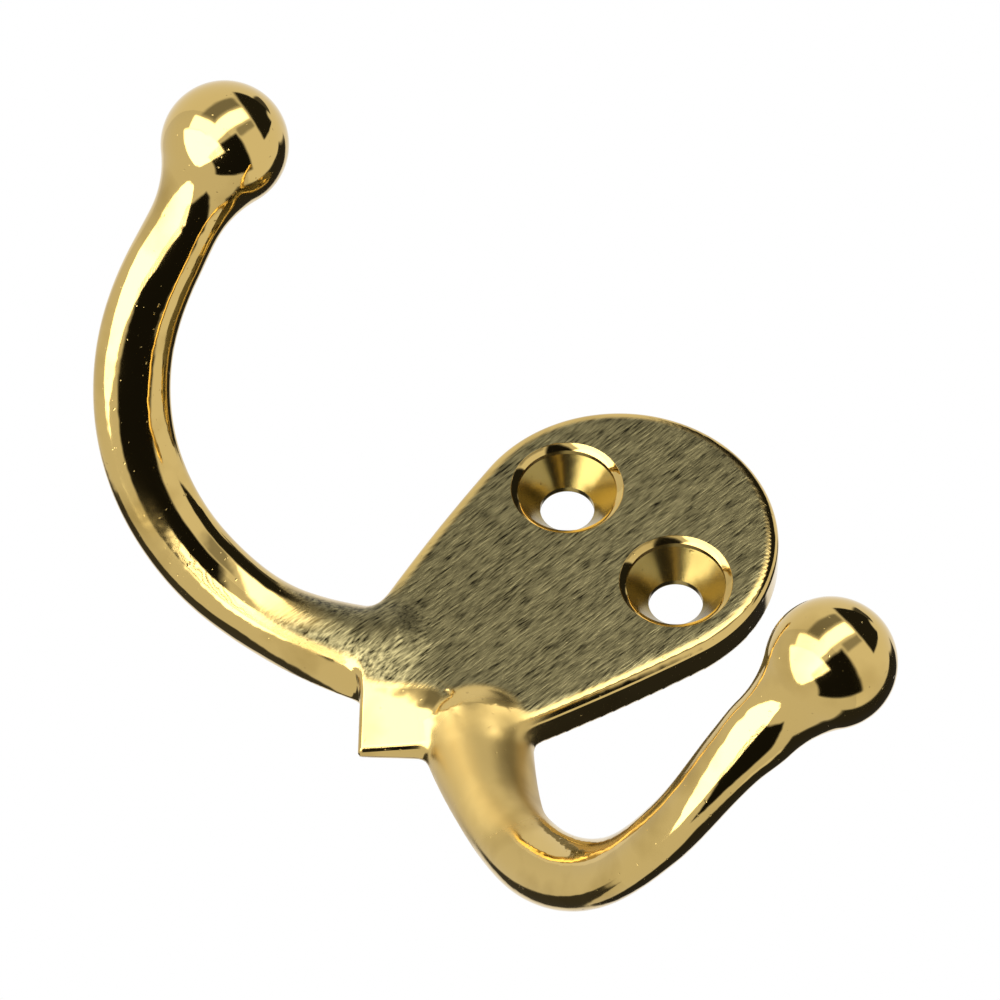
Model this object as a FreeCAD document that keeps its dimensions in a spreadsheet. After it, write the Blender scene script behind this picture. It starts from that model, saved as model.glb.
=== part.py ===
import FreeCAD, Part
import math
import os
import Sketcher
from FreeCAD import Vector

# Double robe hook, cast in brass as one piece.
# A thick spade-shaped plate with a V point at the bottom takes two countersunk
# wood screws side by side.  Two equal arms grow out of its lower flanks, bend
# round sideways, then forward and up, and end in ball tips.
#
# Frame: X to the right as the hook is seen on its wall, Z up, and the wall is
# the plane Y = 0 behind the plate, so the hook stands out towards -Y.  The
# origin is on the wall face, midway between the two screw holes.

# Driving sizes in millimetres and degrees: alias, value, what it is.
SIZES = [
    ("plate_thickness", 3.8, "plate, wall face to front face"),
    ("rim_bevel", 0.6, "narrow bevel on the front edge of the round top and the flanks"),
    ("head_wall", 2.5, "brass left between a screw head and the edge of the round top"),
    ("top_drop", 0.1, "centre of the round top, below the screw line"),
    ("flank_radius", 68.0, "bulge of the flank from the round top down to the V point"),
    ("point_depth", 31.5, "tip of the V point, below the screw line"),
    ("point_half_width", 8.8, "half width where the V point starts, and its height"),
    ("point_edge", 1.0, "thickness left at the edges of the V point"),
    ("point_bevel", 3.8, "width of the slopes on the V point's front"),
    ("point_slope", 9.5, "length of those slopes from the tip, up to where the arms cover them"),
    ("screw_spacing", 14.0, "between the two screw holes"),
    ("screw_bore", 4.8, "clearance bore for a No. 8 wood screw"),
    ("head_bore", 8.8, "sunk bore that takes the screw head"),
    ("head_bore_depth", 0.9, "straight wall of the sunk bore, from the front face"),
    ("head_angle", 82.0, "cone under the screw head"),
    ("lip_bevel", 0.5, "polished bevel round the sunk bore"),
    ("root_side", 8.72, "start of an arm, to the side of the middle"),
    ("root_out", -2.08, "start of an arm, out from the wall"),
    ("root_down", 22.25, "start of an arm, below the screw line"),
    ("arm_lean_angle", 27.1, "lean of the arm's plane out from the wall"),
    ("arm_swing_angle", 43.2, "swing of the arm's plane towards the front"),
    ("root_angle", 24.0, "direction of the arm at its start, below level"),
    ("root_bend", 54.6, "radius of the first bend"),
    ("root_turn_angle", 7.7, "turn of the first bend"),
    ("main_bend", 24.4, "radius of the main bend"),
    ("main_turn_angle", 91.6, "turn of the main bend"),
    ("rise_bend", 200.0, "radius of the nearly straight rise to the ball"),
    ("rise_turn_angle", 1.0, "turn of the rise"),
    ("root_shift", 3.2, "start of an arm, to the front of the plane of its bends"),
    ("arm_bow", 2.5, "middle of the main bend, to the back of that plane"),
    ("dome_swell", 0.08, "how far the rounded start of the arm stands out past its first section"),
    ("root_radius", 4.9, "round section of the arm at its start"),
    ("bend_half_width", 3.42, "oval section in the bends, half its width in the arm's plane"),
    ("bend_half_depth", 2.35, "half its depth square to that plane"),
    ("neck_radius", 3.2, "round section of the arm below the ball"),
    ("ball_radius", 5.6, "ball tip"),
    ("neck_flare", 8.9, "hollow rounding between neck and ball"),
    ("grind_radius", 60.0, "round patch at the back that is ground flat to the wall face"),
]

# Sections of the arm: bend of the centre line, share of that bend, and three sets of
# shares.  The first two are what the sizes of the root, of the bends and of the neck
# have in the section's width and in its depth.  The last is what the root's shift and
# the bow have in its place off the plane of the bends.
STATIONS = [
    (1, 0.0, (1.0, 0.0, 0.0), (1.0, 0.0, 0.0), (1.0, 0.0)),
    (2, 0.0, (0.1, 0.9, 0.0), (0.75, 0.25, 0.0), (0.3, 0.0)),
    (2, 0.25, (0.0, 1.0, 0.0), (0.25, 0.75, 0.0), (0.0, 0.6)),
    (2, 0.5, (0.0, 1.0, 0.0), (0.0, 1.0, 0.0), (0.0, 1.0)),
    (2, 0.75, (0.0, 1.0, 0.0), (0.0, 1.0, 0.0), (0.0, 0.6)),
    (3, 0.0, (0.0, 0.5, 0.5), (0.0, 0.5, 0.5), (0.0, 0.0)),
    (3, 1.0, (0.0, 0.0, 1.0), (0.0, 0.0, 1.0), (0.0, 0.0)),
]

Z_AXIS = Vector(0, 0, 1)
QUARTER_TURN = 90
HALF_TURN = 180
FULL_TURN = 360
BENDS = ("root", "main", "rise")


def make_sheet(doc):
    """Put every driving size in the sheet, one row each, with its alias."""
    sheet = doc.addObject("Spreadsheet::Sheet", "sizes")
    for row, (alias, value, meaning) in enumerate(SIZES, start=1):
        sheet.set("A%d" % row, meaning)
        sheet.set("B%d" % row, str(value))
        sheet.setAlias("B%d" % row, alias)
    doc.recompute()
    return sheet


def origin_plane(body, role):
    """The body's own origin plane with this role."""
    return next(item for item in body.Origin.OriginFeatures if item.Role == role)


def add_attached(body, kind, name, support, mode="FlatFace"):
    """A sketch or a plane of the body, attached to a plane or an edge."""
    item = body.newObject(kind, name)
    item.AttachmentSupport = support
    item.MapMode = mode
    return item


def add_sketch(body, name, support, mode="FlatFace"):
    return add_attached(body, "Sketcher::SketchObject", name, support, mode)


def bind(sketch, constraint, name, expression):
    """Add a constraint whose value follows the sheet."""
    index = sketch.addConstraint(constraint)
    sketch.renameConstraint(index, name)
    sketch.setExpression("Constraints." + name, expression)


def polar(radius, degrees):
    """Point at this distance and angle from the sketch's origin."""
    angle = math.radians(degrees)
    return Vector(radius * math.cos(angle), radius * math.sin(angle), 0)


def mirrored(point):
    """The same point on the other side of the sketch's vertical axis."""
    return Vector(-point.x, point.y, 0)


def arc(centre, radius, start, end):
    """Arc of a circle, anticlockwise between two angles in degrees."""
    return Part.ArcOfCircle(Part.Circle(centre, Z_AXIS, radius), math.radians(start), math.radians(end))


def surface_name(face):
    """Kind of surface under a face."""
    return type(face.Surface).__name__


def lies_at(face, y):
    """True for a flat face that is parallel to the wall, at this Y."""
    if surface_name(face) != "Plane":
        return False
    plane = face.Surface
    return abs(plane.Axis.y) > 0.999 and abs(plane.Position.y - y) < 1e-6


def edge_names(shape, wanted):
    """Names in the shape of these edges."""
    return [
        "Edge%d" % number
        for number, edge in enumerate(shape.Edges, 1)
        if any(edge.isSame(one) for one in wanted)
    ]


def draw_plate_outline(sketch, size):
    """Round top, bulged flanks and the V point, the same on both sides."""
    top_radius = size("screw_spacing") / 2 + size("head_bore") / 2 + size("head_wall")
    top = Vector(0, -size("top_drop"), 0)
    tip = Vector(0, -size("point_depth"), 0)
    shoulder = tip + Vector(size("point_half_width"), size("point_half_width"), 0)
    # the flank's circle holds the round top's circle inside it and runs through the shoulder
    across = size("flank_radius") - top_radius
    down = shoulder - top
    corner = (across ** 2 + down.Length ** 2 - size("flank_radius") ** 2) / (2 * across * down.Length)
    flank = top + polar(across, math.degrees(math.atan2(down.y, down.x) - math.acos(corner)))
    flank_start = math.degrees(math.atan2(flank.y - top.y, top.x - flank.x))
    flank_end = math.degrees(math.atan2(flank.y - shoulder.y, shoulder.x - flank.x))

    top_arc = sketch.addGeometry(arc(top, top_radius, -flank_start, HALF_TURN + flank_start))
    right_flank = sketch.addGeometry(arc(flank, size("flank_radius"), -flank_end, -flank_start))
    right_point = sketch.addGeometry(Part.LineSegment(shoulder, tip))
    left_point = sketch.addGeometry(Part.LineSegment(tip, mirrored(shoulder)))
    left_flank = sketch.addGeometry(
        arc(mirrored(flank), size("flank_radius"), HALF_TURN + flank_start, HALF_TURN + flank_end))

    add = sketch.addConstraint
    add(Sketcher.Constraint("Tangent", right_flank, 2, top_arc, 1))
    add(Sketcher.Constraint("Tangent", top_arc, 2, left_flank, 1))
    add(Sketcher.Constraint("Coincident", right_flank, 1, right_point, 1))
    add(Sketcher.Constraint("Coincident", right_point, 2, left_point, 1))
    add(Sketcher.Constraint("Coincident", left_point, 2, left_flank, 2))
    add(Sketcher.Constraint("PointOnObject", top_arc, 3, -2))
    add(Sketcher.Constraint("PointOnObject", right_point, 2, -2))
    add(Sketcher.Constraint("Symmetric", right_point, 1, left_point, 2, -2))
    add(Sketcher.Constraint("Equal", right_flank, left_flank))
    bind(sketch, Sketcher.Constraint("DistanceY", top_arc, 3, -1, 1, size("top_drop")),
         "top_drop", "sizes.top_drop")
    bind(sketch, Sketcher.Constraint("Radius", top_arc, top_radius),
         "top_radius", "sizes.screw_spacing / 2 + sizes.head_bore / 2 + sizes.head_wall")
    bind(sketch, Sketcher.Constraint("Radius", right_flank, size("flank_radius")),
         "flank_radius", "sizes.flank_radius")
    bind(sketch, Sketcher.Constraint("DistanceY", right_point, 2, -1, 1, size("point_depth")),
         "point_depth", "sizes.point_depth")
    bind(sketch, Sketcher.Constraint("DistanceX", right_point, 2, right_point, 1, size("point_half_width")),
         "point_half_width", "sizes.point_half_width")
    bind(sketch, Sketcher.Constraint("DistanceY", right_point, 2, right_point, 1, size("point_half_width")),
         "point_height", "sizes.point_half_width")


def build_plate(body, size):
    """The spade-shaped plate, with its rim bevelled and its V point sloped down to thin edges."""
    outline = add_sketch(body, "plate_outline", (origin_plane(body, "XZ_Plane"), [""]))
    draw_plate_outline(outline, size)
    plate = body.newObject("PartDesign::Pad", "plate")
    plate.Profile = outline
    plate.setExpression("Length", "sizes.plate_thickness")
    body.Document.recompute()
    front = next(face for face in plate.Shape.Faces if lies_at(face, -size("plate_thickness")))
    curved = [edge for edge in front.Edges if type(edge.Curve).__name__ == "Circle"]
    rim = body.newObject("PartDesign::Chamfer", "bevelled_rim")
    rim.Base = (plate, edge_names(plate.Shape, curved))
    rim.setExpression("Size", "sizes.rim_bevel")
    body.Document.recompute()
    slope_point(body, size)


def slope_point(body, size):
    """Slopes on the V point's front, from its two straight edges up to the flat face."""
    profile = add_sketch(body, "slope_profile", (origin_plane(body, "XZ_Plane"), [""]))
    # the sketch stands square to the right edge of the V, at the tip, with its X outwards
    square = FreeCAD.Rotation(Vector(1, -1, 0), Vector(0, 0, -1), Vector(1, 1, 0), "ZXY")
    profile.AttachmentOffset = FreeCAD.Placement(Vector(0, 0, 0), square)
    profile.setExpression("AttachmentOffset.Base.y", "-sizes.point_depth")
    low = Vector(0, -size("point_edge"), 0)
    high = Vector(-size("point_bevel"), -size("plate_thickness"), 0)
    corner = Vector(0, high.y, 0)
    slope = profile.addGeometry(Part.LineSegment(low, high))
    face = profile.addGeometry(Part.LineSegment(high, corner))
    side = profile.addGeometry(Part.LineSegment(corner, low))
    add = profile.addConstraint
    add(Sketcher.Constraint("Coincident", slope, 2, face, 1))
    add(Sketcher.Constraint("Coincident", face, 2, side, 1))
    add(Sketcher.Constraint("Coincident", side, 2, slope, 1))
    add(Sketcher.Constraint("PointOnObject", side, 1, -2))
    add(Sketcher.Constraint("PointOnObject", side, 2, -2))
    add(Sketcher.Constraint("Horizontal", face))
    bind(profile, Sketcher.Constraint("DistanceY", slope, 1, -1, 1, -low.y), "point_edge", "sizes.point_edge")
    bind(profile, Sketcher.Constraint("DistanceY", side, 1, -1, 1, -high.y),
         "plate_thickness", "sizes.plate_thickness")
    bind(profile, Sketcher.Constraint("DistanceX", face, 1, face, 2, -high.x), "point_bevel", "sizes.point_bevel")
    body.Document.recompute()
    cut = body.newObject("PartDesign::Pocket", "right_slope")
    cut.Profile = profile
    cut.Reversed = True
    cut.setExpression("Length", "sizes.point_slope")
    body.Document.recompute()
    both = body.newObject("PartDesign::Mirrored", "point_slopes")
    both.Originals = [cut]
    both.MirrorPlane = (origin_plane(body, "YZ_Plane"), [""])
    body.Tip = both
    body.Document.recompute()


def draw_centre_line(sketch, size):
    """Three tangent bends that all turn the same way, from the root to the ball's neck."""
    add = sketch.addConstraint
    start = Vector(0, 0, 0)
    heading = -size("root_angle")
    previous = None
    for name in BENDS:
        radius = size(name + "_bend")
        turn = size(name + "_turn_angle")
        centre = start + polar(radius, heading + QUARTER_TURN)
        bend = sketch.addGeometry(arc(centre, radius, heading - QUARTER_TURN, heading - QUARTER_TURN + turn))
        if previous is None:
            add(Sketcher.Constraint("Coincident", bend, 1, -1, 1))
            bind(sketch, Sketcher.Constraint("DistanceY", -1, 1, bend, 3, centre.y),
                 "root_angle", "sizes.root_bend * cos(sizes.root_angle * 1 deg)")
        else:
            add(Sketcher.Constraint("Tangent", previous, 2, bend, 1))
        bind(sketch, Sketcher.Constraint("Radius", bend, radius), name + "_bend", "sizes.%s_bend" % name)
        bind(sketch, Sketcher.Constraint("Angle", bend, math.radians(turn)),
             name + "_turn_angle", "sizes.%s_turn_angle" % name)
        start = centre + polar(radius, heading - QUARTER_TURN + turn)
        heading += turn
        previous = bend


def add_arm_plane(body):
    """The plane of an arm's centre line: leaned out from the wall, then swung to the front."""
    lean = add_attached(body, "PartDesign::Plane", "arm_lean_plane", (origin_plane(body, "XZ_Plane"), [""]))
    lean.AttachmentOffset = FreeCAD.Placement(Vector(0, 0, 0), FreeCAD.Rotation(Vector(1, 0, 0), 1))
    lean.setExpression("AttachmentOffset.Base.x", "sizes.root_side")
    lean.setExpression("AttachmentOffset.Base.y", "-sizes.root_down")
    lean.setExpression("AttachmentOffset.Base.z", "sizes.root_out")
    lean.setExpression("AttachmentOffset.Rotation.Angle", "sizes.arm_lean_angle")
    swing = add_attached(body, "PartDesign::Plane", "arm_plane", (lean, [""]))
    swing.AttachmentOffset = FreeCAD.Placement(Vector(0, 0, 0), FreeCAD.Rotation(Vector(0, -1, 0), 1))
    swing.setExpression("AttachmentOffset.Rotation.Angle", "sizes.arm_swing_angle")
    return swing


def mixed(alias, shares):
    """Expression for a section size between the root's, the bends' and the neck's."""
    return "sizes.root_radius * %g + sizes.%s * %g + sizes.neck_radius * %g" % (
        shares[0], alias, shares[1], shares[2])


def blended(size, alias, shares):
    """Value of that expression."""
    return size("root_radius") * shares[0] + size(alias) * shares[1] + size("neck_radius") * shares[2]


def draw_oval(sketch, size, width_shares, depth_shares):
    """Oval on the sketch's axes: its width along X lies in the arm's plane."""
    across = Vector(blended(size, "bend_half_width", width_shares), 0, 0)
    up = Vector(0, blended(size, "bend_half_depth", depth_shares), 0)
    halves = [(across, mixed("bend_half_width", width_shares)), (up, mixed("bend_half_depth", depth_shares))]
    axis = -1
    if up.Length > across.Length:
        halves = [halves[1], (-across, halves[0][1])]
        axis = -2
    oval = sketch.addGeometry(Part.Ellipse(halves[0][0], halves[1][0], Vector(0, 0, 0)))
    sketch.exposeInternalGeometry(oval)
    sketch.addConstraint(Sketcher.Constraint("Coincident", oval, 3, -1, 1))
    sketch.addConstraint(Sketcher.Constraint("PointOnObject", oval + 1, 1, axis))
    for line, name, (half, expression) in zip((oval + 1, oval + 2), ("longer", "shorter"), halves):
        bind(sketch, Sketcher.Constraint("Distance", line, 2 * half.Length), name, "2 * (%s)" % expression)


def add_section(body, centre_line, number, station, size):
    """Section of the arm, square to its centre line: round at both ends, oval between."""
    bend, share, width_shares, depth_shares, places = station
    sketch = add_sketch(body, "arm_section_%d" % number, (centre_line, ["Edge%d" % bend]), "FrenetNB")
    sketch.MapPathParameter = share
    sketch.setExpression("AttachmentOffset.Base.y", "sizes.root_shift * %g - sizes.arm_bow * %g" % places)
    if width_shares[1] > 0:
        draw_oval(sketch, size, width_shares, depth_shares)
    else:
        radius = blended(size, "neck_radius", width_shares)
        circle = sketch.addGeometry(Part.Circle(Vector(0, 0, 0), Z_AXIS, radius))
        sketch.addConstraint(Sketcher.Constraint("Coincident", circle, 3, -1, 1))
        bind(sketch, Sketcher.Constraint("Radius", circle, radius), "radius", mixed("neck_radius", width_shares))
    return sketch


def draw_ball_profile(sketch, size):
    """Half outline of the neck's flare and the ball, above the axis that carries on the arm."""
    neck = size("neck_radius")
    flare = size("neck_flare")
    ball = size("ball_radius")
    centre = math.sqrt((flare + ball) ** 2 - (neck + flare) ** 2)
    meet = Vector(centre, neck + flare, 0) * (1 / (flare + ball))
    touch = Vector(meet.x * flare, neck + flare - meet.y * flare, 0)
    flare_end = math.degrees(math.atan2(touch.y - neck - flare, touch.x))
    ball_end = math.degrees(math.atan2(touch.y, touch.x - centre))

    start = sketch.addGeometry(Part.LineSegment(Vector(0, 0, 0), Vector(0, neck, 0)))
    hollow = sketch.addGeometry(arc(Vector(0, neck + flare, 0), flare, -QUARTER_TURN, flare_end))
    round_end = sketch.addGeometry(arc(Vector(centre, 0, 0), ball, 0, ball_end))
    axis = sketch.addGeometry(Part.LineSegment(Vector(centre + ball, 0, 0), Vector(0, 0, 0)))
    add = sketch.addConstraint
    add(Sketcher.Constraint("Coincident", start, 1, -1, 1))
    add(Sketcher.Constraint("PointOnObject", start, 2, -2))
    add(Sketcher.Constraint("Coincident", start, 2, hollow, 1))
    add(Sketcher.Constraint("PointOnObject", hollow, 3, -2))
    add(Sketcher.Constraint("Tangent", hollow, 2, round_end, 2))
    add(Sketcher.Constraint("PointOnObject", round_end, 3, -1))
    add(Sketcher.Constraint("Coincident", round_end, 1, axis, 1))
    add(Sketcher.Constraint("PointOnObject", axis, 1, -1))
    add(Sketcher.Constraint("Coincident", axis, 2, -1, 1))
    bind(sketch, Sketcher.Constraint("DistanceY", -1, 1, start, 2, neck), "neck_radius", "sizes.neck_radius")
    bind(sketch, Sketcher.Constraint("Radius", hollow, flare), "neck_flare", "sizes.neck_flare")
    bind(sketch, Sketcher.Constraint("Radius", round_end, ball), "ball_radius", "sizes.ball_radius")


def draw_dome_profile(sketch, size):
    """Half disc of the ball that closes the arm's start, a little wider than the arm itself."""
    radius = size("root_radius") + size("dome_swell")
    axis = sketch.addGeometry(Part.LineSegment(Vector(-radius, 0, 0), Vector(radius, 0, 0)))
    dome = sketch.addGeometry(arc(Vector(0, 0, 0), radius, 0.0, HALF_TURN))
    add = sketch.addConstraint
    add(Sketcher.Constraint("Coincident", dome, 3, -1, 1))
    add(Sketcher.Constraint("PointOnObject", axis, 1, -1))
    add(Sketcher.Constraint("Coincident", axis, 2, dome, 1))
    add(Sketcher.Constraint("Coincident", axis, 1, dome, 2))
    bind(sketch, Sketcher.Constraint("Radius", dome, radius),
         "dome_radius", "sizes.root_radius + sizes.dome_swell")


def add_turned(body, name, profile):
    """Full turn of a profile round its horizontal axis."""
    turned = body.newObject("PartDesign::Revolution", name)
    turned.Profile = profile
    turned.ReferenceAxis = (profile, ["H_Axis"])
    turned.Angle = FULL_TURN
    return turned


def build_arms(body, size):
    """Right arm with its ball and its dome in the plate, then the left one as its mirror image."""
    doc = body.Document
    line = add_sketch(body, "arm_centre_line", (add_arm_plane(body), [""]))
    draw_centre_line(line, size)
    doc.recompute()
    sections = [add_section(body, line, number, station, size) for number, station in enumerate(STATIONS, 1)]
    arm = body.newObject("PartDesign::AdditiveLoft", "arm")
    arm.Profile = sections[0]
    arm.Sections = sections[1:]
    doc.recompute()

    ball_profile = add_sketch(body, "ball_profile", (line, ["Edge3"]), "FrenetTN")
    ball_profile.MapPathParameter = 1.0
    draw_ball_profile(ball_profile, size)
    ball = add_turned(body, "ball_tip", ball_profile)
    doc.recompute()
    dome_profile = add_sketch(body, "root_profile", (line, ["Edge1"]), "FrenetTN")
    dome_profile.setExpression("AttachmentOffset.Base.z", "sizes.root_shift")
    draw_dome_profile(dome_profile, size)
    dome = add_turned(body, "root_dome", dome_profile)
    doc.recompute()

    both = body.newObject("PartDesign::Mirrored", "both_arms")
    both.Originals = [arm, ball, dome]
    both.MirrorPlane = (origin_plane(body, "YZ_Plane"), [""])
    body.Tip = both
    doc.recompute()


def grind_back(body, size):
    """Cut away what the arms' roots put behind the wall face."""
    patch = add_sketch(body, "ground_patch", (origin_plane(body, "XZ_Plane"), [""]))
    circle = patch.addGeometry(Part.Circle(Vector(0, 0, 0), Z_AXIS, size("grind_radius")))
    patch.addConstraint(Sketcher.Constraint("Coincident", circle, 3, -1, 1))
    bind(patch, Sketcher.Constraint("Radius", circle, size("grind_radius")), "grind_radius", "sizes.grind_radius")
    cut = body.newObject("PartDesign::Pocket", "ground_back")
    cut.Profile = patch
    cut.Type = "ThroughAll"
    body.Document.recompute()


def drill_screw_holes(body, size):
    """Two stepped and countersunk screw holes with a bevelled lip."""
    doc = body.Document
    places = add_sketch(body, "screw_places", (origin_plane(body, "XZ_Plane"), [""]))
    places.setExpression("AttachmentOffset.Base.z", "sizes.plate_thickness")
    for side, name in ((-1, "left"), (1, "right")):
        at = Vector(side * size("screw_spacing") / 2, 0, 0)
        circle = places.addGeometry(Part.Circle(at, Z_AXIS, size("screw_bore") / 2))
        places.addConstraint(Sketcher.Constraint("PointOnObject", circle, 3, -1))
        ends = (-1, 1, circle, 3) if side > 0 else (circle, 3, -1, 1)
        bind(places, Sketcher.Constraint("DistanceX", *ends, abs(at.x)),
             name + "_place", "sizes.screw_spacing / 2")
        bind(places, Sketcher.Constraint("Radius", circle, size("screw_bore") / 2),
             name + "_bore", "sizes.screw_bore / 2")
    doc.recompute()
    holes = body.newObject("PartDesign::Hole", "screw_holes")
    holes.Profile = places
    holes.ThreadType = "None"
    holes.setExpression("Diameter", "sizes.screw_bore")
    holes.DepthType = "ThroughAll"
    holes.HoleCutType = "Counterdrill"
    holes.HoleCutCustomValues = True
    holes.setExpression("HoleCutDiameter", "sizes.head_bore")
    holes.setExpression("HoleCutDepth", "sizes.head_bore_depth")
    holes.setExpression("HoleCutCountersinkAngle", "sizes.head_angle")
    doc.recompute()

    front = next(face for face in holes.Shape.Faces if lies_at(face, -size("plate_thickness")))
    outer = front.OuterWire
    rings = [edge for wire in front.Wires if not wire.isSame(outer) for edge in wire.Edges]
    lip = body.newObject("PartDesign::Chamfer", "head_lips")
    lip.Base = (holes, edge_names(holes.Shape, rings))
    lip.setExpression("Size", "sizes.lip_bevel")
    doc.recompute()


def check(doc, body):
    """Stop if any object failed to build, or the casting isn't one closed solid."""
    for item in doc.Objects:
        if "Invalid" in item.State or "Error" in item.State:
            raise RuntimeError("%s did not build: %s" % (item.Name, item.State))
        shape = getattr(item, "Shape", None)
        if shape is not None and item.TypeId.startswith(("PartDesign", "Sketcher")):
            if shape.isNull() or not shape.isValid():
                raise RuntimeError("%s has no valid shape" % item.Name)
    if len(body.Shape.Solids) != 1:
        raise RuntimeError("the casting has %d solids" % len(body.Shape.Solids))


def main():
    doc = FreeCAD.newDocument("double_robe_hook")
    sheet = make_sheet(doc)

    def size(alias):
        return float(sheet.get(alias))

    body = doc.addObject("PartDesign::Body", "hook_casting")
    build_plate(body, size)
    build_arms(body, size)
    grind_back(body, size)
    drill_screw_holes(body, size)
    check(doc, body)
    os.makedirs("parts", exist_ok=True)
    body.Shape.exportStep("parts/hook_casting.step")


main()
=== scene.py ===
"""Double robe hook, cast in brass as one piece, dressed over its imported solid.

The casting is one closed surface, worked out as a signed distance field in
millimetres (plate, two arms with ball tips, soft blends between them) that a
fine voxel mesh is pulled onto, and its normals are the field's own gradient,
so that a mirror polish shows no facets.  Each screw hole is a turned cup.

X runs to the right as seen from the front, Z runs up, and the wall is y = 0
with the hook on its -Y side, so "out" below means -Y.
"""
import logging
import math
from dataclasses import dataclass
from enum import Enum

import bpy
import numpy as np
from bpy.types import ID, Material, Mesh, Node, NodeSocket, NodeTree, Object
from mathutils import Matrix, Vector
from mathutils.geometry import tessellate_polygon


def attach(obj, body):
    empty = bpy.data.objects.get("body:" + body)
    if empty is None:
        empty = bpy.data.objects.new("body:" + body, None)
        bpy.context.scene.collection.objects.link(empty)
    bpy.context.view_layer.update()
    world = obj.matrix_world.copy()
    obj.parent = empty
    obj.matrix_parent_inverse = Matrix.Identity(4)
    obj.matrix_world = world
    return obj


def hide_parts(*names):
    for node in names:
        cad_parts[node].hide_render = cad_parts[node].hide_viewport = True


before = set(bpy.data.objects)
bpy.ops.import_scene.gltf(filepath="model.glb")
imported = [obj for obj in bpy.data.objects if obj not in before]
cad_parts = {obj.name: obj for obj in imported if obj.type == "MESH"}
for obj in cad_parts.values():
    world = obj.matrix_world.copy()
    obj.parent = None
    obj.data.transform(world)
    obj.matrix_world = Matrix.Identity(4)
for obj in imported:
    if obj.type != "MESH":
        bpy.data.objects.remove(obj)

Array = np.ndarray
Pair = tuple[float, float]
Triple = tuple[float, float, float]

LOG = logging.getLogger("robe_hook")
MM = 0.001
FULL_TURN = 2.0 * math.pi
WHITE = (1.0, 1.0, 1.0, 1.0)

# Shares that a mesh stores for each point: of brushing, whose satin colour is painted sheen, of haze
# and of a card's light.
BRUSHED_SHEEN = "brushed"
HAZE = "haze"
SHADE = "shade"

# Sections of the arm: bend of the centre line, share of that bend, then the shares that
# the root's, the bends' and the neck's sizes have in the width and in the depth, and
# that the root's shift and the bow have in the place off the plane of the bends.
STATIONS = (
    (0, 0.0, (1.0, 0.0, 0.0), (1.0, 0.0, 0.0), (1.0, 0.0)),
    (1, 0.0, (0.1, 0.9, 0.0), (0.75, 0.25, 0.0), (0.3, 0.0)),
    (1, 0.25, (0.0, 1.0, 0.0), (0.25, 0.75, 0.0), (0.0, 0.6)),
    (1, 0.5, (0.0, 1.0, 0.0), (0.0, 1.0, 0.0), (0.0, 1.0)),
    (1, 0.75, (0.0, 1.0, 0.0), (0.0, 1.0, 0.0), (0.0, 0.6)),
    (2, 0.0, (0.0, 0.5, 0.5), (0.0, 0.5, 0.5), (0.0, 0.0)),
    (2, 1.0, (0.0, 0.0, 1.0), (0.0, 0.0, 1.0), (0.0, 0.0)),
)

# What the grinding belt touches, on the face and on the left arm's root: how squarely
# the surface faces it, then how far below and how far above the face, in mm.  Each
# has where its share starts to change and where the change ends.  On the left arm's
# root the satin's dark colour is painted shade on the arm's underside.
FACE_REACH = np.array([(0.95, 0.99), (-0.2, -0.05), (0.12, 0.5)])
ROOT_SHADE_REACH = np.array([(0.71, 0.87), (-0.6, -0.25), (0.82, 2.1)])


class Side(Enum):
    """Which of the two arms, as the sign of X on its side."""

    RIGHT = 1.0
    LEFT = -1.0


# Small maths and helpers


def ease(value: Array, low: float, high: float) -> Array:
    """Rise from 0 at low to 1 at high as 3t^2 - 2t^3, t being the share of the way, held to 0..1."""
    t = np.clip((value - low) / (high - low), 0.0, 1.0)
    return t * t * (3.0 - 2.0 * t)


def soft_union(a: Array, b: Array, reach: Array) -> Array:
    """Join two solids with a hollow blend.

    The lower of the two distances, less h cubed times reach / 6, where h is how
    near to equal they are: 1 where they are equal, 0 once they differ by reach.

    Args:
        a: distances to the first solid, in mm.
        b: distances to the second solid, in mm.
        reach: how far from the meeting line the blend spreads, in mm.

    Returns:
        Distances to the joined solid, in mm.
    """
    h = np.clip(1.0 - np.abs(a - b) / reach, 0.0, 1.0)
    return np.minimum(a, b) - h ** 3 * reach / 6.0


def round_corner(a: Array, b: Array, radius: float) -> Array:
    """Keep what lies inside both solids, with the edge between them rounded.

    Away from the edge it is the higher of the two distances; near it, the
    distance to a circle of the given radius that touches both surfaces.

    Args:
        a: distances to the first surface, in mm.
        b: distances to the second surface, in mm.
        radius: radius of the rounding where the surfaces meet squarely, in mm.

    Returns:
        Distances to the common solid, in mm.
    """
    u = np.maximum(a + radius, 0.0)
    v = np.maximum(b + radius, 0.0)
    return np.minimum(np.maximum(a, b), -radius) + np.hypot(u, v)


def grid_faces(rows: int, columns: int, closed: bool) -> Array:
    """Quads between the points of a grid that is numbered row by row.

    Args:
        rows: number of rows.
        columns: number of points in a row.
        closed: whether a row's last point is joined to its first.

    Returns:
        Point numbers, one quad a row.
    """
    wide = columns if closed else columns - 1
    i, j = np.meshgrid(np.arange(rows - 1), np.arange(wide), indexing="ij")
    i, j = i.ravel() * columns, j.ravel()
    k = (j + 1) % columns
    return np.column_stack([i + j, i + k, i + columns + k, i + columns + j])


def set_share(mesh: Mesh, name: str, values: Array) -> None:
    """Store one number from 0 to 1 for each point of a mesh, for its material to read."""
    layer = mesh.attributes.new(name, "FLOAT", "POINT")
    layer.data.foreach_set("value", np.asarray(values, dtype=np.float32))


def add_object(name: str, data: ID) -> Object:
    """Put an object in the scene.

    Args:
        name: the object's name.
        data: its mesh, camera or lamp.

    Returns:
        The object.
    """
    thing = bpy.data.objects.new(name, data)
    bpy.context.scene.collection.objects.link(thing)
    return thing


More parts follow.
